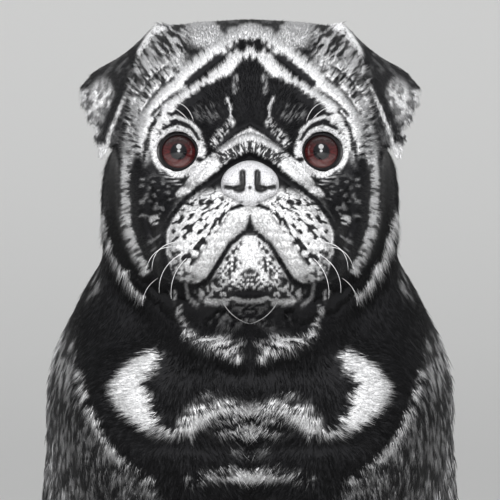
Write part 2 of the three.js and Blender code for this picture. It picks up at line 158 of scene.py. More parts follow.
def face_tone(u, y, z):
    """The markings of the face, with painted highlights along the ridges of its folds and painted shade in
    its creases. Their streaks and specks follow rays from where the hair starts.
    """
    tone = Tone(len(u), 0.03)
    paint = tone.paint
    turn, reach = np.arctan2(u, z - HAIR_START[2]), np.hypot(u, z - HAIR_START[2])
    hairs = speckle(turn * 46, reach / 6.5, 1)
    combed = speckle(turn * 95 + 0.12 * reach, reach / 7, 14)
    fine = speckle(turn * 70, reach / 3.2, 2)
    specks = speckle(turn * 32, reach / 2.4, 3)
    dots = speckle(u / 1.1, z / 1.1, 4)

    # Forehead and temples.
    streaked = 0.95 - 0.9 * smooth(0.52, 0.7, combed)
    paint(streaked, patch(u, z, (46, 365), (16, 23), 0.3))
    paint(streaked, band(u, z, [(54, 358), (56.5, 345), (57, 330)], 6.5, 3.0))
    diagonal = speckle((u - z) / 1.3, (u + z) / 6, 10)
    paint(0.93, patch(u, z, (23, 392), (13, 8), 0.3))
    paint(0.95 * smooth(0.4, 0.62, diagonal), patch(u, z, (40, 388), (10, 12), 0.4))
    crown = band(u, z, [(5.5, 398.5), (15, 398.5)], 2.6, 0.8)
    crown = np.maximum(crown, patch(u, z, (11.5, 395), (3.6, 4.2), 0.25))
    paint(0.1 + 0.5 * smooth(0.5, 0.7, dots) * hairs, crown)
    # Pale bands along the brow ridges that relief_at raises: painted highlights on the ridges.
    paint(0.95, band(u, z, ARC_OUT, 4.4 - 2.0 * smooth(0.45, 0.8, fine), 1.4))
    paint(0.97, band(u, z, ARC_IN, 3.7 - 2.0 * smooth(0.45, 0.8, fine), 0.9))
    # Black lens in the groove between the brow ridges: painted shade in the crease.
    paint(0.0, band(u, z, ARC_LENS, 2.7 - 1.3 * fine, 0.6))
    paint(0.0, patch(u, z, (4.2, 384.6), (2.4, 3.9), 0.2))
    blotch = band(u, z, [(0, 369.5), (0, 348)], 8.6 - 2.4 * fine, 0.8)
    blotch = np.maximum(blotch, band(u, z, BROW_DARK, 6.9 - 1.8 * fine, 0.8))
    blotch = np.maximum(blotch, band(u, z, [(6, 352), (20, 346), (23, 334)], 6.2, 0.8))
    paint(0.0, blotch)
    paint(0.85 * smooth(0.35, 0.55, hairs), band(u, z, [(11.5, 358), (9, 353), (9.5, 349)], 0.8, 0.4))
    paint(0.8 * smooth(0.45, 0.6, fine), band(u, z, [(9.5, 346), (14, 341), (18, 335.5)], 2.1, 0.9))
    paint(0.55 * smooth(0.5, 0.7, fine), band(u, z, [(7, 369), (7.5, 361)], 1.2, 0.7))
    paint(0.3 * smooth(0.55, 0.7, fine), patch(u, z, (21, 351), (7, 5)))
    # The brow lines go black along their grooves: painted shade in the creases.
    for line in BROW_LINES:
        paint(0.0, band(u, z, line, 0.95 - 0.5 * fine, 0.4), 0.9)

    # Nose fold and the pale fur round the eye.
    paint(0.08 + 0.75 * smooth(0.5, 0.62, specks), band(u, z, FOLD_BODY, 5.6, 0.8))
    # Pale line along the crest of the nose fold: a painted highlight on the ridge.
    paint(0.97, band(u, z, FOLD_CREST, np.interp(u, [0, 14], [3.1, 1.3]), 0.4))
    ring = np.hypot(u - EYE[0], (z - EYE[2]) * 1.03)
    round_eye = np.arctan2(u - EYE[0], z - EYE[2])
    lashes = speckle(round_eye * 16, ring / 3, 5)
    paint(0.97 - 0.8 * smooth(0.6, 0.8, lashes) * smooth(11.5, 13, ring), 1 - smooth(12.8, 14.4, ring))
    paint(0.0, band(u, z, [(25.5, 338), (29, 343.5), (36, 346.3), (43, 343.5)], 0.8, 0.4), 0.95)
    paint(0.9, band(u, z, [(25, 341.5), (30, 346.5), (37, 349.3), (45, 346)], 0.9, 0.4), 0.9)
    paint(0.0, band(u, z, [(26, 346.5), (33, 350.6), (41, 350.8)], 0.6, 0.4), 0.8)
    paint(0.0, band(u, z, [(25.6, 328), (22, 326.5)], 1.3, 0.6))
    paint(0.97, band(u, z, [(18.5, 325), (24, 321), (30.5, 314.5), (36, 310.5)],
                     np.interp(u, [18, 24, 30, 37], [3.6, 4.6, 3.0, 1.0]), 0.7))
    paint(0.75 * smooth(0.4, 0.6, fine), band(u, z, [(33, 315), (39, 318), (44, 322)], 1.4, 0.7), 0.8)

    # Cheek, the black side of the face, and the pale fringe along its edge.
    paint(0.0, band(u, z, [(56, 327), (56, 318), (54.5, 300), (50, 284)], 4.4 - 1.6 * hairs, 2.2))
    paint(0.3 * smooth(0.6, 0.72, specks), patch(u, z, (46, 306), (9, 14)))
    paint(0.9 * smooth(0.35, 0.55, fine), patch(u, z, (47.5, 298), (2.8, 2.4), 0.25))
    paint(0.5 * smooth(0.5, 0.65, hairs), patch(u, z, (47, 287), (4, 6)), 0.8)
    paint(0.55 * smooth(0.5, 0.65, hairs), band(u, z, [(53.5, 318), (54, 300)], 1.3, 0.8), 0.8)
    paint(0.97 - 0.8 * smooth(0.5, 0.75, fine), band(u, z, FRINGE, 2.7 - 1.4 * fine, 0.8))

    # Muzzle, lips and chin.
    front = smooth(-60, -72, y)
    pale = np.maximum(patch(u, z, (22, 292), (20, 18), 0.06), patch(u, z, (12, 304), (22, 9), 0.3))
    pale = np.maximum(pale, patch(u, z, (27, 279.5), (15, 13), 0.06)) * front
    paint(0.97, pale)
    dark = smooth(0.56, 0.64, specks) * smooth(4.5, 7.5, distance_to(u, z, FLEW)) * smooth(5, 12, u)
    paint(0.0, dark * smooth(312, 307, z) * pale, 0.95)
    lower = band(u, z, [(40, 284), (37, 275), (30, 268.5)], 3.2, 2.0)
    paint(0.1 + 0.75 * smooth(0.4, 0.6, speckle(u / 1.4, z / 1.4, 11)), lower * pale, 0.9)
    cells = np.abs(speckle(u / 2.6, z / 2.6, 6) - 0.5)
    paint(0.0, (1 - smooth(0.02, 0.09, cells)) * patch(u, z, (21, 310), (9, 7), 0.4) * front, 0.95)
    paint(0.97, band(u, z, FLEW, 3.9, 0.8))
    below = smooth(3.6, 4.6, distance_to(u, z, FLEW)) * (z < 293)
    chin = patch(u, z, (0, 274), (16, 18), 0.12) * below * (u < np.interp(z, [262, 293], [27, 0]))
    paint(0.12 + 0.85 * smooth(0.35, 0.58, dots), chin)
    paint(0.95, band(u, z, [(0, 289), (0, 282)], np.interp(z, [281, 290], [6.5, 1.5]), 1.2) * below)
    paint(0.1 + 0.75 * smooth(0.45, 0.65, dots), patch(u, z, (15, 261), (12, 6), 0.25))
    paint(0.9, band(u, z, [(12, 257), (22, 257.5)], 1.4, 0.8))
    paint(0.0, patch(u, z, (0, 272.5), (3.5, 1.4), 0.4), 0.8)
    # Black bar in the crease under the lower lip: painted shade.
    paint(0.0, patch(u, z, (0, 261.5), (9, 2.6), 0.2))
    paint(0.75, band(u, z, [(0, 257.2), (8, 259)], 0.9, 0.5))
    paint(0.3 * smooth(0.5, 0.7, dots), patch(u, z, (0, 250.5), (12, 6), 0.2))
    # Near-black lines down the philtrum, under the nose, along the mouth, at the foot of the nose fold and
    # down the side of the muzzle: painted shade in these creases.
    paint(0.05, band(u, z, [(0, 300), (0, 292)], np.interp(z, [292, 300], [1.6, 0.5]), 0.5))
    paint(0.0, band(u, z, [(3.2, 305.4), (9, 303.2)], 0.9, 0.5) * front)
    paint(0.0, band(u, z, MOUTH, 1.3, 0.4))
    paint(0.0, band(u, z, FOLD_FOOT, np.interp(u, [16, 24, 38], [2.0, 1.4, 1.1]), 0.4))
    paint(0.0, band(u, z, MUZZLE_SIDE, 1.5, 0.6))
    paint(0.55, band(u, z, [(32, 266), (31, 259), (26, 255)], 0.9, 0.5), 0.8)
    paint(0.7 * smooth(0.35, 0.55, fine), band(u, z, [(40, 265), (36, 256), (34, 246)], 1.6, 0.8), 0.9)
    return tone.value


def body_tone(u, z):
    """The markings of the throat, chest and flanks, where the streaks lie more across. The pale bands and
    patches of throat and chest are painted highlights on the fur, brightest on the ridges, and so is the pale
    arc along the shoulder's rim.
    """
    tone = Tone(len(u), 0.02)
    paint = tone.paint
    across = speckle(z / 1.05 + u * 0.25, u / 8, 7)
    down = speckle(u / 1.2 + z * 0.35, z / 6, 8)
    grizzle = speckle(u / 0.8 + z * 0.35, z / 3.6, 15)
    paint(0.6 + 0.38 * smooth(0.35, 0.6, across), band(u, z, RUFF, 5.0 - 1.8 * down, 1.4))
    # From here to the bottom patch, the pale bands and patches of throat and chest: painted highlights on the
    # fur, brightest on the ridges that relief_at raises.
    paint(0.15 + 0.75 * smooth(0.35, 0.6, across), band(u, z, THROAT, 2.6 - 1.2 * down, 1.2))
    paint(0.85 * smooth(0.4, 0.6, across), patch(u, z, (15, 236), (12, 4.5), 0.4))
    paint(0.3 * smooth(0.5, 0.7, down), patch(u, z, (12, 248), (8, 6)))
    paint(0.96, band(u, z, CRESCENT, np.interp(z, [196, 212, 229], [6.5, 11.5, 6.0]) - 5.0 * across, 1.4))
    paint(0.7 * smooth(0.4, 0.6, down), band(u, z, [(47, 192), (30, 190)], 3.0, 1.6))
    paint(0.1 + 0.88 * smooth(0.3, 0.55, across), band(u, z, [(12, 204), (20, 205.5), (31, 196)], 5.4, 2.2))
    paint(0.8 * smooth(0.42, 0.58, across), patch(u, z, (0, 196), (19, 10), 0.4))
    paint(0.5 * smooth(0.5, 0.65, across), patch(u, z, (0, 183), (9, 5), 0.4))
    paint(0.96, patch(u, z, (0, 169.5), (21, 4.6 - 2.4 * down), 0.3))
    paint(0.7 * smooth(0.5, 0.62, down), band(u, z, [(10, 172), (30, 166)], 3, 2))
    out = u - np.interp(z, [150, 164, 176, 185, 201, 217, 240], [34, 48, 64, 72, 80, 87, 96])
    paint(0.06 + 0.4 * smooth(0.45, 0.75, grizzle), smooth(0, 5, out))
    # Pale arc along the rim of the shoulder: a painted highlight.
    paint(0.85 * smooth(0.3, 0.55, across), band(u, z, SHOULDER_RIM_HIGHLIGHT, 2.1, 1.1))
    paint(0.12 + 0.6 * smooth(0.4, 0.65, grizzle), patch(u, z, (95, 227), (6, 14), 0.4))
    paint(0.45 * smooth(0.35, 0.65, down), patch(u, z, (81, 267), (4.5, 10), 0.4))
    return tone.value


def tone_at(p, n, labels):
    """How pale the coat is at points in millimetres: the markings with their painted highlights and shade,
    and elsewhere streaked charcoal that is a painted sheen, paler where the surface turns sideways or away,
    towards the back and below 150 mm.
    """
    u, y, z = np.abs(p[:, 0]), p[:, 1], p[:, 2]
    face = face_tone(u, y, z) * smooth(0.42, 0.0, n[:, 1]) * smooth(-34, -52, y)
    body = body_tone(u, z) * smooth(0.3, -0.25, n[:, 1]) * smooth(120, 160, z) * smooth(60, 30, y)
    streak = smooth(0.45, 0.85, speckle((p[:, 0] + y) / 1.8, z / 8 + y / 14, 9))
    # Streaked charcoal as a painted sheen on the black coat: paler where the surface turns sideways or away
    # from the front, towards the back and below 150 mm, and paler still on the tail.
    sheen_where_turned = np.maximum(smooth(-60, 40, y), 0.8 * smooth(-0.2, 0.2, n[:, 1]))
    rest = 0.015 + (0.09 + 0.12 * streak) * np.maximum(sheen_where_turned, smooth(150, 90, z))
    rest += 0.1 * streak * is_part(labels, "tail")
    return np.clip(np.where(is_part(labels, "head", "jaw"), face, body) + rest, 0, 1)


def ear_tone(p):
    """The same for an ear: black with a streaky grey painted sheen, a pale root that is a painted highlight
    on its fold, a pale patch by its fold and pale edges.
    """
    u, z = np.abs(p[:, 0]), p[:, 2]
    # Streaky grey over the black: a painted sheen.
    t = 0.04 + 0.14 * smooth(0.5, 0.75, speckle((u + z) / 1.6, (u - z) / 7, 12))
    grains = smooth(0.3, 0.65, speckle(u / 1.2, z / 2.0, 13))
    for value, mask in (
        (0.3 + 0.62 * grains, patch(u, z, (74.5, 359), (5.5, 10), 0.45)),
        (0.2 + 0.6 * grains, band(u, z, [(84, 362), (80, 348), (76, 334)], 2.6, 1.6)),
        (0.02, band(u, z, [(62, 368), (69, 352), (74, 338)], 2.6, 1.0)),
        (0.85, band(u, z, [(58.5, 369), (65.5, 354), (70.5, 341), (72.5, 331)], 0.9, 0.5)),
        (0.92, patch(u, z, (74, 331), (3.5, 5.5), 0.35)),
        # The pale root: a painted highlight on the ridge of the fold.
        (0.97, band(u, z, [(43, 398), (49.5, 390), (54.5, 381)], 3.4, 0.8)),
        (0.02, band(u, z, [(60, 386), (58, 376)], 2.4, 1.0)),
    ):
        t = t + (value - t) * mask
    return t * smooth(-30, -42, p[:, 1]) + 0.05


def relief_at(p):
    """Folds, creases and lips: how far the skin stands out, in millimetres."""
    u, y, z = np.abs(p[:, 0]), p[:, 1], p[:, 2]
    face = smooth(-55, -80, y) * (z > 240)
    out = np.zeros(u.shape)
    for line, half, height in (
        (FOLD_BODY, 4.5, 1.8), (FOLD_TOP, 2.0, -2.6), (FOLD_FOOT, 1.9, -3.4), (MUZZLE_SIDE, 3.0, -2.6),
        (ARC_IN, 3.2, 1.3), (ARC_LENS, 2.6, -1.6), (ARC_OUT, 3.6, 1.1), (MOUTH, 1.7, -3.0), (FLEW, 3.0, 0.8),
        ([(0, 366), (0, 350)], 3.0, -1.2), ([(10, 362), (9, 350), (13, 343)], 1.8, -1.2),
        ([(24, 358), (38, 349)], 2.5, -1.0), ([(0, 306), (0, 293)], 1.0, -1.2),
        ([(30, 313), (38, 320), (47, 324)], 1.6, -1.0),
        ([(50, 312), (52, 296), (47, 280)], 2.2, -1.4), ([(0, 261.5), (8, 262)], 1.4, -2.2),
        ([(3.5, 305.3), (9, 303)], 0.9, -1.4), *((line, 1.1, -0.9) for line in BROW_LINES),
    ):
        out += height * np.exp(-((distance_to(u, z, line) / half) ** 2))
    pads = np.sin((u * 0.62 + z) * 0.95) * np.sin((z - u * 0.8) * 0.55)
    out += 0.5 * (pads * patch(u, z, (26, 291), (16, 16), 0.3))
    throat = smooth(-40, -60, y) * (z < 262) * (z > 150)
    for line, half, height in ((THROAT, 4.5, 2.4), (CRESCENT, 7, 2.6), ([(0, 221), (40, 222)], 6, -1.0),
                               ([(0, 182), (50, 184)], 6, -1.8), ([(0, 203), (26, 201)], 6, 1.8)):
        face_out = height * np.exp(-((distance_to(u, z, line) / half) ** 2))
        out = out + face_out * throat * (1 - face)
    return np.where(face > 0, out * np.maximum(face, throat), out)


# Meshes.


def new_piece(name, mesh, material, replaces=()):
    piece = bpy.data.objects.new(name, mesh)
    bpy.context.scene.collection.objects.link(piece)
    if material:
        mesh.materials.clear()
        mesh.materials.append(material)
    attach(piece, "root")
    if replaces:
        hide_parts(*replaces)
    return piece


def mesh_from(name, bm):
    mesh = bpy.data.meshes.new(name)
    bm.to_mesh(mesh)
    bm.free()
    mesh.shade_smooth()
    return mesh


def node_copy(bm, node, grow):
    """A merged copy of a CAD node, grown a little so that it meets its neighbours."""
    part = bmesh.new()
    part.from_mesh(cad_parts[node].data)
    bmesh.ops.remove_doubles(part, verts=part.verts, dist=2e-5)
    part.normal_update()
    for v in part.verts:
        v.co += v.normal * grow * MM
    mesh = bpy.data.meshes.new("copy")
    part.to_mesh(mesh)
    part.free()
    bm.from_mesh(mesh)
    bpy.data.meshes.remove(mesh)


def remeshed(name, bm, voxel):
    """One closed skin round everything in a bmesh, as a new bmesh."""
    mesh = mesh_from(name, bm)
    holder = bpy.data.objects.new(name, mesh)
    bpy.context.scene.collection.objects.link(holder)
    change = holder.modifiers.new("skin", "REMESH")
    change.mode = "VOXEL"
    change.voxel_size = voxel * MM
    bpy.context.view_layer.update()
    done = bpy.data.meshes.new_from_object(holder.evaluated_get(bpy.context.evaluated_depsgraph_get()))
    out = bmesh.new()
    out.from_mesh(done)
    bpy.data.objects.remove(holder)
    bpy.data.meshes.remove(mesh)
    bpy.data.meshes.remove(done)
    return out


def read(items, key, wide=1, kind=np.float64):
    """One property of every item of a mesh, with wide numbers in each row."""
    values = np.empty(len(items) * wide, dtype=kind)
    items.foreach_get(key, values)
    return values.reshape(-1, wide) if wide > 1 else values


def points_of(mesh):
    p = read(mesh.vertices, "co", 3) / MM
    p[:, 1] -= SHIFT
    return p


def put_points(mesh, p):
    p = p.copy()
    p[:, 1] += SHIFT
    mesh.vertices.foreach_set("co", (p * MM).ravel())
    mesh.update()


def normals_of(mesh):
    return read(mesh.vertices, "normal", 3)


def relax(mesh, weight, rounds, keep=0.0):
    """Smooths the points by weight; keep above zero pushes back, so that thin parts hold their size."""
    a, b = read(mesh.edges, "vertices", 2, np.int64).T
    ends = np.r_[a, b]
    p = points_of(mesh)
    count = np.bincount(ends, minlength=len(p))[:, None].clip(1)

    def lean(q):
        """How far each point would move to the middle of its neighbours."""
        sums = [np.bincount(ends, weights=np.r_[q[b, i], q[a, i]], minlength=len(q)) for i in range(3)]
        return np.stack(sums, 1) / count - q

    for _ in range(rounds):
        p = p + lean(p) * (0.5 * weight)[:, None]
        if keep:
            p = p - lean(p) * (keep * weight)[:, None]
    put_points(mesh, p)


def labels_of(p):
    """The CAD node that each point of the skin lies nearest to, as a number in FLESH."""
    spots = []
    for i, node in enumerate(FLESH):
        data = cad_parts[node].data
        seen = set()
        for polygon in data.polygons:
            c = polygon.center
            key = (round(c.x, 4), round(c.y, 4), round(c.z, 4))
            if key not in seen:
                seen.add(key)
                spots.append((c.copy(), i))
    tree = kdtree.KDTree(len(spots))
    for k, (c, _) in enumerate(spots):
        tree.insert(c, k)
    tree.balance()
    return np.array([spots[tree.find((x * MM, (y + SHIFT) * MM, z * MM))[1]][1] for x, y, z in p])


def is_part(labels, *names):
    wanted = [i for i, node in enumerate(FLESH) if any(node.startswith(n) for n in names)]
    return np.isin(labels, wanted)


def float_layer(mesh, name, values):
    layer = mesh.attributes.new(name, "FLOAT", "POINT")
    layer.data.foreach_set("value", values.astype(np.float32))


# Shader helpers.


def rgba(value):
    """A colour of three numbers with its alpha added, and anything else as it is."""
    return (*value, 1.0) if isinstance(value, tuple) and len(value) == 3 else value


class Wire:
    """A shader socket that can be added, multiplied and raised as a number."""

    def __init__(self, shader, socket):
        self.shader, self.socket = shader, socket

    def _math(self, operation, *values):
        return self.shader.node("ShaderNodeMath", {"operation": operation}, values)

    def __add__(self, other):
        return self._math("ADD", self, other)

    def __radd__(self, other):
        return self._math("ADD", other, self)

    def __mul__(self, other):
        return self._math("MULTIPLY", self, other)

    def power(self, other):
        return self._math("POWER", self, other)

    def step(self, low, high):
        """A soft step from 0 at low to 1 at high."""
        settings = {"interpolation_type": "SMOOTHSTEP"}
        inputs = {"Value": self, "From Min": low, "From Max": high}
        return self.shader.node("ShaderNodeMapRange", settings, inputs, out="Result")


class Shader:
    """A material being built: node() makes any node, and mix() blends two colours."""

    def __init__(self, name):
        self.material = bpy.data.materials.new(name)
        self.material.use_nodes = True
        self.tree = self.material.node_tree
        self.tree.nodes.clear()
        self.surface = self.tree.nodes.new("ShaderNodeBsdfPrincipled")
        end = self.tree.nodes.new("ShaderNodeOutputMaterial")
        self.tree.links.new(self.surface.outputs[0], end.inputs[0])

    def node(self, kind, settings=None, inputs=(), out=0):
        made = self.tree.nodes.new(kind)
        for key, value in (settings or {}).items():
            setattr(made, key, value)
        pairs = inputs.items() if isinstance(inputs, dict) else enumerate(inputs)
        for key, value in pairs:
            self.feed(made.inputs[key], value)
        return Wire(self, made.outputs[out])

    def feed(self, socket, value):
        if isinstance(value, Wire):
            self.tree.links.new(value.socket, socket)
        else:
            socket.default_value = value

    def mix(self, share, a, b):
        made = self.tree.nodes.new("ShaderNodeMix")
        made.data_type = "RGBA"
        # Sockets 6, 7 and 2 are the two colours in and the colour out.
        self.feed(made.inputs[0], share)
        self.feed(made.inputs[6], rgba(a))
        self.feed(made.inputs[7], rgba(b))
        return Wire(self, made.outputs[2])

    def attribute(self, name):
        return self.node("ShaderNodeAttribute", {"attribute_name": name}, out="Fac")

    def noise(self, scale, detail=3.0, at=None):
        at = at or self.node("ShaderNodeTexCoord", out="Object")
        inputs = {"Vector": at, "Scale": scale, "Detail": detail}
        return self.node("ShaderNodeTexNoise", inputs=inputs, out="Fac")

    def bump(self, height, strength, distance):
        inputs = {"Height": height, "Strength": strength, "Distance": distance}
        self.feed(self.surface.inputs["Normal"], self.node("ShaderNodeBump", inputs=inputs, out="Normal"))

    def set(self, **sockets):
        for key, value in sockets.items():
            self.feed(self.surface.inputs[key.replace("_", " ")], rgba(value))
        return self.material


def coat_shader(name, looks, is_skin):
    s = Shader(name)
    tone = s.attribute("tone")
    shade = s.attribute("shade")
    grey = s.mix(tone.power(1.6) * (0.72 + shade * 0.5), tuple(looks.black), tuple(looks.silver))
    if is_skin:
        hairs = s.noise(900.0, 2.0)
        colour = s.mix(hairs.step(0.35, 0.65) * 0.55, grey, (0.01, 0.01, 0.011))
        s.bump(hairs, 0.4, 0.0006)
        return s.set(Base_Color=colour, Roughness=0.7, Specular_IOR_Level=0.1)
    return s.set(Base_Color=grey, Roughness=0.5 + tone * 0.15, Specular_IOR_Level=0.14)


def eye_shader(looks):
    s = Shader("eyeball")
    uv = s.node("ShaderNodeUVMap", {"uv_map": "gaze"}, out="UV")
    parts = s.node("ShaderNodeVectorMath", {"operation": "SUBTRACT"}, [uv, (0.5, 0.5, 0.0)], out="Vector")
    reach = s.node("ShaderNodeVectorMath", {"operation": "LENGTH"}, [parts], out="Value") * GAZE_WIDTH
    turn = s.node("ShaderNodeTexGradient", {"gradient_type": "RADIAL"}, [parts], out="Fac")
    spoke = s.node("ShaderNodeCombineXYZ", inputs=[turn * 40.0, reach * 0.35, 0.0])
    fibres = s.noise(1.0, 4.0, spoke)
    low = s.node("ShaderNodeSeparateXYZ", inputs=[parts], out="Y")
    warm = s.mix(fibres.step(0.3, 0.75), (0.028, 0.005, 0.005), tuple(looks.iris))
    # The top of the iris darkened: painted shade.
    warm = s.mix(low.step(0.0, 0.24) * 0.85, warm, (0.012, 0.008, 0.008))
    # The bottom of the iris turned pale pinkish grey: a painted reflection of the floor.
    warm = s.mix(low.step(-0.1, -0.3) * 0.55, warm, (0.2, 0.1, 0.095))
    colour = s.mix(reach.step(4.8, 3.6), warm, (0.003, 0.003, 0.004))
    colour = s.mix(reach.step(7.8, 8.5), colour, (0.006, 0.005, 0.005))
    return s.set(Base_Color=colour, Roughness=0.3, Specular_IOR_Level=0.1,
                 Coat_Weight=1.0, Coat_Roughness=0.02, Coat_IOR=1.55)


def nose_shader(looks):
    s = Shader("nose_leather")
    at = s.node("ShaderNodeTexCoord", out="Object")
    edges = {"feature": "DISTANCE_TO_EDGE"}
    cells = s.node("ShaderNodeTexVoronoi", edges, {"Vector": at, "Scale": 850.0}, out="Distance")
    nostril_shade = s.attribute("nostril_shade")
    grain = cells.step(0.0, 0.12)
    pale = s.mix(grain * 0.75 + 0.25, (0.16, 0.16, 0.165), tuple(looks.nose))
    # Nostrils and the creases of the nose go near black: painted shade.
    colour = s.mix(nostril_shade, pale, (0.006, 0.006, 0.007))
    s.bump(grain, 0.5, 0.0004)
    return s.set(Base_Color=colour, Roughness=0.38 + nostril_shade * 0.2, Coat_Weight=0.25, Coat_Roughness=0.2)


def plain_shader(name, colour, roughness, grain_scale, grain, coat=0.0, shine=0.5):
    s = Shader(name)
    n = s.noise(grain_scale, 4.0)
    dark = tuple(c * 0.6 for c in colour)
    s.bump(n, 0.3, grain * MM)
    colour = s.mix(n.step(0.3, 0.7), dark, colour)
    return s.set(Base_Color=colour, Roughness=roughness, Coat_Weight=coat, Specular_IOR_Level=shine)


# Sizes and colours that a user would change.


class PugLooks(bpy.types.PropertyGroup):
    black: FloatVectorProperty(name="Black coat", description="Colour of the darkest hair", subtype="COLOR",
                               default=(0.006, 0.006, 0.007), min=0, max=1)
    silver: FloatVectorProperty(name="Pale coat", description="Colour of the palest hair", subtype="COLOR",
                                default=(0.86, 0.86, 0.87), min=0, max=1)
    iris: FloatVectorProperty(name="Iris", description="Warm colour of the iris", subtype="COLOR",
                              default=(0.085, 0.015, 0.016), min=0, max=1)
    nose: FloatVectorProperty(name="Nose", description="Pale grey of the nose leather", subtype="COLOR",
                              default=(0.62, 0.62, 0.64), min=0, max=1)


class PugSizes(bpy.types.PropertyGroup):
    skin_cell: FloatProperty(name="Skin cell", default=3.3, min=3.2, max=6,
                             description="Size of the skin's faces on the body, in millimetres")
    coat_depth: FloatProperty(name="Coat depth", default=2.2, min=0, max=6,
                              description="How far the skin lies inside the coat on the body, in millimetres")
    thickness: FloatProperty(name="Coat thickness", default=1.0, min=0.1, max=1.04, subtype="FACTOR",
                             description="Number of tufts as a share of their usual number")
    hair: FloatProperty(name="Hair length", description="Length of the coat as a share of its usual length",
                        default=1.0, min=0.3, max=1.5, subtype="FACTOR")
    seed: IntProperty(name="Seed", description="Start of the random numbers", default=7)


# Skin.


def split_region(bm, test):
    """Halves the edges of the skin where the test holds."""
    edges = [e for e in bm.edges if test(e.verts[0].co) and test(e.verts[1].co)]
    bmesh.ops.subdivide_edges(bm, edges=edges, cuts=1, use_grid_fill=True, smooth=0.0)


def in_face(c):
    return c.z > 0.246 and c.y < (SHIFT - 72) * MM and abs(c.x) < 0.072


def in_muzzle(c):
    return 0.252 < c.z < 0.352 and c.y < (SHIFT - 92) * MM and abs(c.x) < 0.05


class PUG_OT_skin(bpy.types.Operator):
    """One skin over head, body, legs and tail, with folds, lips, markings, and painted highlights, shade and
    sheen in its colour
    """

    bl_idname = "pug.skin"
    bl_label = "Skin"

    def execute(self, context):
        sizes = context.scene.pug_sizes
        bm = bmesh.new()
        for node in FLESH:
            node_copy(bm, node, 0.9 if node.startswith("ear") else 0.45)
        bm = remeshed("skin", bm, sizes.skin_cell)
        split_region(bm, in_face)
        split_region(bm, in_muzzle)
        bmesh.ops.triangulate(bm, faces=[f for f in bm.faces if len(f.verts) > 4])
        mesh = mesh_from("skin", bm)

        p = points_of(mesh)
        labels = labels_of(p)
        thin = is_part(labels, "ear")
        head = is_part(labels, "head", "jaw")
        feet = is_part(labels, "forepaw", "hindpaw")
        front = smooth(-60, -85, p[:, 1]) * head
        relax(mesh, np.where(thin | feet, 0.15, np.where(head, 1 - 0.75 * front, 1.0)), 14)
        relax(mesh, np.where(thin | feet, 1.0, 0.4), 4, keep=0.52)

        p, n = points_of(mesh), normals_of(mesh)
        depth = np.where(head, 1.4 - 0.9 * front, sizes.coat_depth)
        depth = np.where(thin, 0.5, np.where(feet, 0.6, depth)) * smooth(0, 14, p[:, 2])
        folds = relief_at(p)
        p = p + n * (folds * head * front + folds * (1 - front) * ~thin - depth)[:, None]
        p[:, 2] = np.maximum(p[:, 2], 0.15)
        put_points(mesh, p)
        relax(mesh, np.where(head, 0.5, 0.3), 1)

        p = points_of(mesh)
        tone = np.where(thin, ear_tone(p), tone_at(p, normals_of(mesh), labels))
        float_layer(mesh, "tone", tone)
        float_layer(mesh, "shade", np.full(len(p), 0.5))
        float_layer(mesh, "part", labels.astype(float))
        material = coat_shader("skin_under_coat", context.scene.pug_looks, True)
        skin = new_piece("skin", mesh, material, FLESH)
        context.view_layer.objects.active = skin
        skin.select_set(True)
        bpy.ops.object.mode_set(mode="EDIT")
        bpy.ops.mesh.select_all(action="SELECT")
        bpy.ops.uv.smart_project(angle_limit=math.radians(75), island_margin=0.002)
        bpy.ops.object.mode_set(mode="OBJECT")
        mesh.uv_layers.active.name = "OFBake"
        skin.select_set(False)
        return {"FINISHED"}


# Coat.


def unit(v):
    return v / np.maximum(np.linalg.norm(v, axis=1, keepdims=True), 1e-9)


def lie_of(p, labels):
    """Which way the hair lies at points in millimetres, before it is pressed flat onto the skin."""
    x, y, z = p.T
    u, s = np.abs(x), np.sign(x)
    zero = np.zeros(len(p))
    lie = np.stack([0.1 * s, zero + 0.45, zero - 0.85], 1)

    head = is_part(labels, "head", "jaw")
    away = unit(np.stack([x, y, z], 1) - HAIR_START) + np.array([0, 0.35, 0])
    away[:, 2] -= 1.1 * smooth(-92, -78, y) * smooth(335, 315, z)
    nape = np.stack([0.2 * s, zero + 1, zero - 0.4], 1)
    t = smooth(-70, -40, y)[:, None]
    lie = np.where(head[:, None], away * (1 - t) + nape * t, lie)
    eye = np.stack([u - EYE[0], zero, z - EYE[2]], 1)
    near_eye = (1 - smooth(12, 19, np.linalg.norm(eye, axis=1))) * head * (y < -80)
    eye[:, 0] *= s
    lie = lie * (1 - near_eye[:, None]) + unit(eye) * near_eye[:, None]

    chest = is_part(labels, "torso", "neck") & (y < 10)
    lie = np.where(chest[:, None], np.stack([0.25 * s, zero + 0.1, zero - 0.95], 1), lie)
    middle = chest * (1 - smooth(24, 36, u)) * smooth(222, 212, z)
    lie = lie + np.stack([-0.9 * s * middle, zero, zero], 1)
    cres = chest * band(u, z, CRESCENT, 12, 5)
    lie = lie + np.stack([1.6 * s * cres, zero, 0.5 * cres], 1)

    ears = is_part(labels, "ear")[:, None]
    lie = np.where(ears, np.stack([0.35 * s, zero - 0.4, zero - 0.8], 1), lie)
    legs = is_part(labels, "foreleg", "hindleg")[:, None]
    lie = np.where(legs, np.stack([0.05 * s, zero + 0.15, zero - 1], 1), lie)
    paws = is_part(labels, "forepaw", "hindpaw")[:, None]
    lie = np.where(paws, np.stack([zero, zero - 0.9, zero - 0.35], 1), lie)
    tail = is_part(labels, "tail")[:, None]
    return np.where(tail, np.stack([0.15 + zero, 142 - z, y - 168], 1) / 20, lie)


def laid(lie, normals, rng):
    """The lie of each tuft pressed onto the skin, with a little swing to one side or the other."""
    flat = unit(lie - normals * np.sum(lie * normals, 1)[:, None])
    return unit(flat + np.cross(normals, flat) * rng.normal(0, 0.16, len(lie))[:, None])


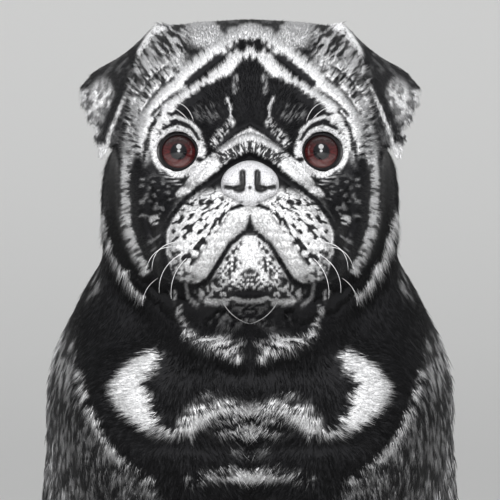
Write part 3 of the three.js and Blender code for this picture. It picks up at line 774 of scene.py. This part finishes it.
def tuft_mesh(name, bent, roots, normals, along, length, width, lift, tones, shades, uvs, rng):
    """Thin three-sided tufts, straight or bent once, each with its own small patch of the unwrap."""
    n = len(roots)
    side = np.cross(normals, along)
    sway = side * (rng.normal(0, 0.10, n) * length)[:, None]
    rise = normals * (lift * length)[:, None]
    rings = [(roots - normals * 0.4, 1.0)]
    if bent:
        rings.append((roots + along * (0.5 * length)[:, None] + rise * 0.75 + sway * 0.3, 0.8))
    corners = []
    for centre, share in rings:
        half = (width * 0.5 * share)[:, None]
        corners += [centre - side * half, centre + side * half, centre + normals * (half * 0.55 + 0.05)]
    points = np.stack(corners + [roots + along * length[:, None] + rise * 1.1 + sway], 1)
    points[:, :, 2] = np.maximum(points[:, :, 2], 0.1)
    k = 3 * len(rings)
    walls = [(0, 1, 4), (0, 4, 3), (1, 2, 5), (1, 5, 4), (2, 0, 3), (2, 3, 5)] if bent else []
    pattern = np.array(walls + [(0, 2, 1), (k - 3, k - 2, k), (k - 2, k - 1, k), (k - 1, k - 3, k)])
    faces = (pattern[None] + (k + 1) * np.arange(n)[:, None, None]).reshape(-1, 3)
    mesh = bpy.data.meshes.new(name)
    flat = points.reshape(-1, 3)
    flat[:, 1] += SHIFT
    mesh.vertices.add(len(flat))
    mesh.vertices.foreach_set("co", (flat * MM).ravel())
    mesh.loops.add(faces.size)
    mesh.loops.foreach_set("vertex_index", faces.ravel().astype(np.int32))
    mesh.polygons.add(len(faces))
    mesh.polygons.foreach_set("loop_start", np.arange(0, faces.size, 3, dtype=np.int32))
    mesh.update(calc_edges=True)
    mesh.shade_smooth()
    # Each tuft is darker at its root, and its corners spread over its patch of the unwrap.
    if bent:
        ramp = [-0.25, -0.25, -0.2, 0.05, 0.05, 0.1, 0.35]
        spread = [(0, 0), (1, 0), (0.5, 0), (0, 0.5), (1, 0.5), (0.5, 0.5), (0.5, 1)]
    else:
        ramp = [-0.2, -0.2, -0.1, 0.3]
        spread = [(0, 0), (1, 0), (0.5, 0.4), (0.5, 1)]
    float_layer(mesh, "tone", np.repeat(tones, k + 1))
    float_layer(mesh, "shade", np.repeat(shades, k + 1) + np.tile(ramp, n))
    spots = uvs[:, None, :] + (np.array(spread) - 0.5)[None] * TUFT_PATCH
    spots = np.clip(spots.reshape(-1, 2)[faces.ravel()], 0, 1)
    layer = mesh.uv_layers.new(name="OFBake")
    layer.data.foreach_set("uv", spots.astype(np.float32).ravel())
    return mesh


# Each piece of coat: the parts it covers, which points of them, thousands of tufts, whether they bend,
# then length and width in millimetres, and lift as a share of the length.
COATS = [
    ("coat_muzzle", ("head", "jaw"), lambda u, y, z: (y < -88) & (z < 330), 46, False, 2.6, 0.34, 0.12),
    ("coat_forehead", ("head", "jaw"), lambda u, y, z: (y < -70) & (z >= 330), 45, False, 3.6, 0.40, 0.12),
    ("coat_cheeks", ("head", "jaw"), lambda u, y, z: (y >= -88) & (z < 330), 40, False, 4.0, 0.46, 0.12),
    ("coat_crown", ("head",), lambda u, y, z: (y >= -70) & (z >= 330), 25, False, 5.5, 0.60, 0.12),
    ("coat_ears", ("ear",), lambda u, y, z: y < 1e3, 24, False, 3.6, 0.44, 0.10),
    ("coat_neck", ("neck",), lambda u, y, z: y < 1e3, 42, False, 6.5, 0.58, 0.11),
    ("coat_chest", ("torso",), lambda u, y, z: (y < 5) & (z > 120), 46, False, 6.5, 0.58, 0.11),
    ("coat_back", ("torso",), lambda u, y, z: (y >= 5) | (z <= 120), 17.5, True, 11.5, 1.25, 0.10),
    ("coat_legs", ("foreleg", "hindleg"), lambda u, y, z: y < 1e3, 12.5, True, 8.5, 1.0, 0.10),
    ("coat_feet", ("forepaw", "hindpaw"), lambda u, y, z: z > 1.5, 14, False, 3.6, 0.60, 0.10),
    ("coat_tail", ("tail",), lambda u, y, z: y < 1e3, 5, True, 12.0, 1.1, 0.16),
]


class PUG_OT_coat(bpy.types.Operator):
    """Short fur in separate pieces, each tuft lying the way the hair grows"""

    bl_idname = "pug.coat"
    bl_label = "Coat"

    def execute(self, context):
        sizes = context.scene.pug_sizes
        skin = bpy.data.objects.get("skin")
        if skin is None:
            raise RuntimeError("the skin comes before the coat")
        mesh = skin.data
        rng = np.random.default_rng(sizes.seed)
        p, n = points_of(mesh), normals_of(mesh)
        part = read(mesh.attributes["part"].data, "value", kind=np.float32)
        mesh.calc_loop_triangles()
        count = len(mesh.loop_triangles)
        tri = read(mesh.loop_triangles, "vertices", 3, np.int32)
        loop = read(mesh.loop_triangles, "loops", 3, np.int32)
        uv = read(mesh.uv_layers["OFBake"].data, "uv", 2, np.float32)
        area = np.linalg.norm(np.cross(p[tri[:, 1]] - p[tri[:, 0]], p[tri[:, 2]] - p[tri[:, 0]]), axis=1)
        centre = p[tri].mean(1)
        kind = np.round(part[tri[:, 0]]).astype(int)
        material = coat_shader("coat_hair", context.scene.pug_looks, False)
        for name, parts, where, thousands, bent, length, width, lift in COATS:
            u, y, z = np.abs(centre[:, 0]), centre[:, 1], centre[:, 2]
            on_eye = (np.hypot(u - EYE[0], z - EYE[2]) < 9.3) & (y < -85)
            on_nose = (np.hypot(u / 15.5, (z - NOSE_Z) / 11) < 1) & (y < -118)
            odds = area * is_part(kind, *parts) * where(u, y, z) * ~(on_eye | on_nose)
            total = int(1000 * thousands * sizes.thickness)
            pick = rng.choice(count, total, p=odds / odds.sum())
            r = rng.random((total, 2))
            r = np.where(r.sum(1, keepdims=True) > 1, 1 - r, r)
            w = np.stack([1 - r.sum(1), r[:, 0], r[:, 1]], 1)[:, :, None]
            roots = (p[tri[pick]] * w).sum(1)
            normals = unit((n[tri[pick]] * w).sum(1))
            spots = (uv[loop[pick]] * w).sum(1)
            labels = kind[pick]
            u, y, z = np.abs(roots[:, 0]), roots[:, 1], roots[:, 2]
            fringe = (band(u, z, FRINGE, 4, 2) + band(u, z, RUFF, 5, 2)).clip(0, 1) * smooth(-20, -50, y)
            long = length * (1 + 0.3 * fringe) * np.clip(rng.normal(1, 0.18, total), 0.5, 1.5) * sizes.hair
            if "head" in parts:
                from_eye, from_nose = np.hypot(u - EYE[0], z - EYE[2]), np.hypot(u, z - NOSE_Z)
                long *= 0.55 + 0.45 * smooth(9, 22, from_eye) * smooth(8, 24, from_nose)
            up = lift * (1 + 0.6 * fringe) * np.clip(rng.normal(1, 0.35, total), 0.2, 2)
            wide = width * np.clip(rng.normal(1, 0.2, total), 0.5, 1.5)
            along = laid(lie_of(roots, labels), normals, rng)
            seen = roots + along * (0.45 * long)[:, None]
            tones = np.where(is_part(labels, "ear"), ear_tone(seen), tone_at(seen, normals, labels))
            tones = np.clip(tones * rng.normal(1, 0.12, total), 0, 1)
            made = tuft_mesh(name, bent, roots, normals, along, long, wide, up, tones,
                             rng.normal(0.5, 0.16, total), spots, rng)
            new_piece(name, made, material)
        return {"FINISHED"}


# Eyes, lids, nose, whiskers and claws.


def place(u, y, z, side=1):
    """A point in metres from millimetres on the face."""
    return Vector((side * u, y + SHIFT, z)) * MM


def tube(bm, path, radii, sides=6):
    """A closed tapering rod through points in metres."""
    last = None
    for i, (at, r) in enumerate(zip(path, radii)):
        ahead = (path[min(i + 1, len(path) - 1)] - path[max(i - 1, 0)]).normalized()
        turn = ahead.to_track_quat("Z", "Y").to_matrix().to_4x4()
        where = Matrix.Translation(at) @ turn
        ring = bmesh.ops.create_circle(bm, segments=sides, radius=r, matrix=where)["verts"]
        edges = list({e for v in ring for e in v.link_edges if e.other_vert(v) in ring})
        if last:
            bmesh.ops.bridge_loops(bm, edges=last + edges)
        else:
            bmesh.ops.contextual_create(bm, geom=edges)
        last = edges
    bmesh.ops.contextual_create(bm, geom=last)


def curve_points(a, b, bow, count):
    """Points from a to b that bow out by a vector in the middle."""
    return [a.lerp(b, t) + bow * (4 * t * (1 - t)) for t in np.linspace(0, 1, count)]


class PUG_OT_eyes(bpy.types.Operator):
    """Eyeballs with a bulging cornea, and the dark rims of the lids"""

    bl_idname = "pug.eyes"
    bl_label = "Eyes"

    def execute(self, context):
        glass = eye_shader(context.scene.pug_looks)
        rim = plain_shader("lid_rim", (0.008, 0.007, 0.008), 0.6, 900.0, 0.15, shine=0.15)
        forward = Matrix.Rotation(math.radians(90), 3, "X")
        ball, cornea, bulge = 11.6, 9.2, 1.7
        # Each ring of the lid's rim: its radius, and how far back it lies from the eye's middle.
        profile = [(8.35, -7.9), (8.5, -9.2), (8.75, -9.5), (9.1, -9.3), (9.6, -8.2), (10.3, -5.5)]
        for side, sign in zip(SIDES, (1, -1)):
            bm = bmesh.new()
            bmesh.ops.create_uvsphere(bm, u_segments=64, v_segments=40, radius=ball * MM)
            bmesh.ops.rotate(bm, verts=bm.verts, matrix=forward)
            layer = bm.loops.layers.uv.new("gaze")
            for v in bm.verts:
                r = math.hypot(v.co.x, v.co.z) / MM
                if v.co.y < 0 and r < cornea:
                    v.co.y -= bulge * MM * (1 - (r / cornea) ** 2) ** 1.3
            for face in bm.faces:
                for corner in face.loops:
                    c = corner.vert.co / (GAZE_WIDTH * MM)
                    corner[layer].uv = (0.5 + c.x * sign, 0.5 + c.z)
            bmesh.ops.translate(bm, verts=bm.verts, vec=place(*EYE, sign))
            new_piece(f"eyeball_{side}", mesh_from("eyeball", bm), glass, [f"eye_{side}"])

            bm = bmesh.new()
            last = None
            for r, y in profile:
                ring = bmesh.ops.create_circle(bm, segments=56, radius=r * MM)["verts"]
                bmesh.ops.rotate(bm, verts=ring, matrix=forward)
                for v in ring:
                    v.co.z *= 0.97
                    v.co.y += y * MM + 0.08 * v.co.x * sign
                edges = list({e for v in ring for e in v.link_edges})
                if last:
                    bmesh.ops.bridge_loops(bm, edges=last + edges)
                last = edges
            bmesh.ops.recalc_face_normals(bm, faces=bm.faces)
            bmesh.ops.translate(bm, verts=bm.verts, vec=place(*EYE, sign))
            new_piece(f"lids_{side}", mesh_from("lids", bm), rim)
        return {"FINISHED"}


class PUG_OT_nose(bpy.types.Operator):
    """Nose leather with comma-shaped nostrils"""

    bl_idname = "pug.nose"
    bl_label = "Nose"

    def execute(self, context):
        bm = bmesh.new()
        node_copy(bm, "nose", 0.7)
        bm = remeshed("nose", bm, 0.7)
        mesh = mesh_from("nose_leather", bm)
        relax(mesh, np.ones(len(mesh.vertices)), 8)
        p, n = points_of(mesh), normals_of(mesh)
        u, z = np.abs(p[:, 0]), p[:, 2]
        slot = distance_to(u, z, [(3.9, 321.5), (3.9, 315), (4.6, 313.4)])
        wing = distance_to(u, z, [(4.6, 313.4), (8, 312.9), (12.8, 313.8)]) + 0.45
        away = np.minimum(slot, wing)
        front = smooth(-0.1, -0.5, n[:, 1])
        groove = 0.7 * np.exp(-((u / 0.7) ** 2)) * (z < 312)
        p = p - n * ((2.2 * np.exp(-((away / 1.3) ** 2)) + groove) * front)[:, None]
        put_points(mesh, p)
        relax(mesh, np.full(len(p), 0.5), 1)
        # Near black in the nostrils, in a spot between them and along the lower edge: painted shade.
        nostril_shade = (1 - smooth(1.3, 1.8, away)) * front
        nostril_shade = np.maximum(nostril_shade, (1 - smooth(0.7, 1.3, np.hypot(u, z - 313.5))) * front)
        nostril_shade = np.maximum(nostril_shade, patch(u, z, (5.6, 312.8), (3.4, 1.9), 0.25) * front)
        nostril_shade = np.maximum(nostril_shade, band(u, z, [(4, 306.5), (9, 304.5)], 0.6, 0.4) * front * 0.8)
        float_layer(mesh, "nostril_shade", np.clip(nostril_shade, 0, 1))
        new_piece("nose_leather", mesh, nose_shader(context.scene.pug_looks), ["nose"])
        return {"FINISHED"}


class PUG_OT_whiskers(bpy.types.Operator):
    """Pale whiskers on the lips, over the eyes and under the chin"""

    bl_idname = "pug.whiskers"
    bl_label = "Whiskers"

    def execute(self, context):
        skin = bpy.data.objects.get("skin")
        if skin is None:
            raise RuntimeError("the skin comes before the whiskers")
        surface = BVHTree.FromObject(skin, context.evaluated_depsgraph_get())
        steps = 12
        bm = bmesh.new()
        for sign in (1, -1):
            # Where each whisker starts and ends as seen from the front, how far it bows,
            # and how far forward of its root it ends.
            for start, end, bow, ahead in (
                ((38, 284.5), (51.6, 270), (2.3, 3.8), 9),
                ((34, 281), (44.4, 262), (3.0, 1.4), 8),
                ((36, 287), (48, 273), (3.0, 2.6), 8),
                ((46, 269), (53.6, 255), (1.9, 1.2), 9),
                ((31, 279), (38.5, 259), (2.5, 1.0), 7),
                ((14, 257.5), (0.2, 246), (1.2, -1.6), 2),
                ((28, 347), (37, 356), (-1, 2), 6),
                ((31, 348), (43, 354), (0, 2), 5),
            ):
                root = surface.ray_cast(place(start[0], -300, start[1], sign), Vector((0, 1, 0)))[0]
                tip = place(end[0], root.y / MM - SHIFT - ahead, end[1], sign)
                path = curve_points(root, tip, Vector((bow[0] * sign, -2, bow[1])) * MM, steps)
                tube(bm, path, [MM * (0.2 - 0.14 * t) for t in np.linspace(0, 1, steps)], 5)
        bmesh.ops.recalc_face_normals(bm, faces=bm.faces)
        material = plain_shader("whisker", (0.85, 0.85, 0.86), 0.35, 400.0, 0.02)
        new_piece("whiskers", mesh_from("whiskers", bm), material)
        return {"FINISHED"}


class PUG_OT_claws(bpy.types.Operator):
    """Dark blunt claws at the ends of the toes"""

    bl_idname = "pug.claws"
    bl_label = "Claws"

    def execute(self, context):
        bm = bmesh.new()
        # The middle of each paw, its size as a share of the forepaw's, and how far it turns out.
        for at, scale, turn in (((46, -84), 1.0, 3), ((89, -14), 0.96, 12)):
            c, s = math.cos(math.radians(turn)), math.sin(math.radians(turn))
            for sign in (1, -1):
                for k in (-1.5, -0.5, 0.5, 1.5):
                    path = []
                    for out, up in ((-4, 9.5), (0, 10.2), (4, 9.6), (7.5, 7.2), (9.4, 4.2), (9.9, 2.8)):
                        dx, dy = k * 11, -28 + 5 * abs(k) - 8 - out * 0.95
                        x = at[0] + scale * (dx * c - dy * s)
                        y = at[1] + scale * (dx * s + dy * c)
                        path.append(place(x, y, up, sign))
                    tube(bm, path, [MM * r for r in (2.2, 2.4, 2.3, 1.8, 1.1, 0.5)], 10)
        bmesh.ops.recalc_face_normals(bm, faces=bm.faces)
        material = plain_shader("claw_horn", (0.02, 0.018, 0.017), 0.36, 500.0, 0.1, 0.2)
        new_piece("claws", mesh_from("claws", bm), material)
        return {"FINISHED"}


# Floor, lights and camera.


def soft_light(name, at, aim, size, power):
    data = bpy.data.lights.new(name, "AREA")
    data.shape, data.size, data.energy = "DISK", size, power
    lamp = bpy.data.objects.new(name, data)
    lamp.location = at
    lamp.rotation_euler = (Vector(aim) - Vector(at)).to_track_quat("-Z", "Y").to_euler()
    bpy.context.scene.collection.objects.link(lamp)


class PUG_OT_stage(bpy.types.Operator):
    """Pale floor, soft lights and the camera in front of the face"""

    bl_idname = "pug.stage"
    bl_label = "Stage"

    def execute(self, context):
        bm = bmesh.new()
        # The floor's half width, where its bend up to the backdrop starts, and the bend's size, in metres.
        half, bend, radius, top = 9.0, 1.5, 7.5, 9.0
        turns = np.linspace(0, math.pi / 2, 16)
        arc = [(bend + radius * math.sin(a), radius - radius * math.cos(a)) for a in turns]
        row = [bm.verts.new((-half, y, z)) for y, z in [(-half, 0.0), *arc, (bend + radius, top)]]
        edges = [bm.edges.new(pair) for pair in zip(row, row[1:])]
        swept = bmesh.ops.extrude_edge_only(bm, edges=edges)["geom"]
        ends = [g for g in swept if isinstance(g, bmesh.types.BMVert)]
        bmesh.ops.translate(bm, verts=ends, vec=(2 * half, 0, 0))
        floor = bpy.data.objects.new("floor", mesh_from("floor", bm))
        context.scene.collection.objects.link(floor)
        floor.data.materials.append(Shader("floor_paint").set(Base_Color=(0.74, 0.74, 0.73), Roughness=0.85))
        world = bpy.data.worlds.new("studio")
        world.use_nodes = True
        world.node_tree.nodes["Background"].inputs[0].default_value = (0.9, 0.91, 0.93, 1)
        world.node_tree.nodes["Background"].inputs[1].default_value = 0.32
        context.scene.world = world
        context.scene.view_settings.view_transform = "Standard"
        aim = (0, SHIFT * MM - 0.06, 0.26)
        for name, at, towards, size, power in (
            ("key", (0.0, -1.5, 1.4), aim, 1.1, 35),
            ("front_fill", (0.0, -2.6, 0.6), aim, 1.0, 34),
            ("rim_left", (1.2, 1.0, 0.8), aim, 0.7, 7),
            ("rim_right", (-1.2, 1.0, 0.8), aim, 0.7, 7),
            ("backdrop", (0, 2.5, 4.5), (0, 8, 2.5), 3.0, 120),
        ):
            soft_light(name, at, towards, size, power)
        lens = bpy.data.cameras.new("camera")
        lens.sensor_width = 36
        lens.angle = 2 * math.atan(VIEW_WIDTH / 2 / CAMERA_DISTANCE)
        lens.clip_end = 60
        camera = bpy.data.objects.new("camera", lens)
        camera.location = (0, (EYE[1] + SHIFT - CAMERA_DISTANCE) * MM, 0.283)
        camera.rotation_euler = (math.radians(90), 0, 0)
        context.scene.collection.objects.link(camera)
        context.scene.camera = camera
        return {"FINISHED"}


STEPS = ["skin", "coat", "eyes", "nose", "whiskers", "claws", "stage"]


class PUG_PT_panel(bpy.types.Panel):
    """Sizes, colours and the steps that make the pug"""

    bl_idname = "PUG_PT_panel"
    bl_label = "Sitting Pug"
    bl_space_type = "VIEW_3D"
    bl_region_type = "UI"
    bl_category = "Pug"

    def draw(self, context):
        for group in (context.scene.pug_sizes, context.scene.pug_looks):
            for key in group.__annotations__:
                self.layout.prop(group, key)
        for step in STEPS:
            self.layout.operator("pug." + step)


CLASSES = [
    PugLooks, PugSizes, PUG_OT_skin, PUG_OT_coat, PUG_OT_eyes, PUG_OT_nose,
    PUG_OT_whiskers, PUG_OT_claws, PUG_OT_stage, PUG_PT_panel,
]


def register():
    for c in CLASSES:
        bpy.utils.register_class(c)
    bpy.types.Scene.pug_looks = PointerProperty(type=PugLooks)
    bpy.types.Scene.pug_sizes = PointerProperty(type=PugSizes)


def unregister():
    del bpy.types.Scene.pug_sizes
    del bpy.types.Scene.pug_looks
    for c in reversed(CLASSES):
        bpy.utils.unregister_class(c)


def main():
    register()
    for step in STEPS:
        getattr(bpy.ops.pug, step)()


if __name__ == "__main__":
    main()
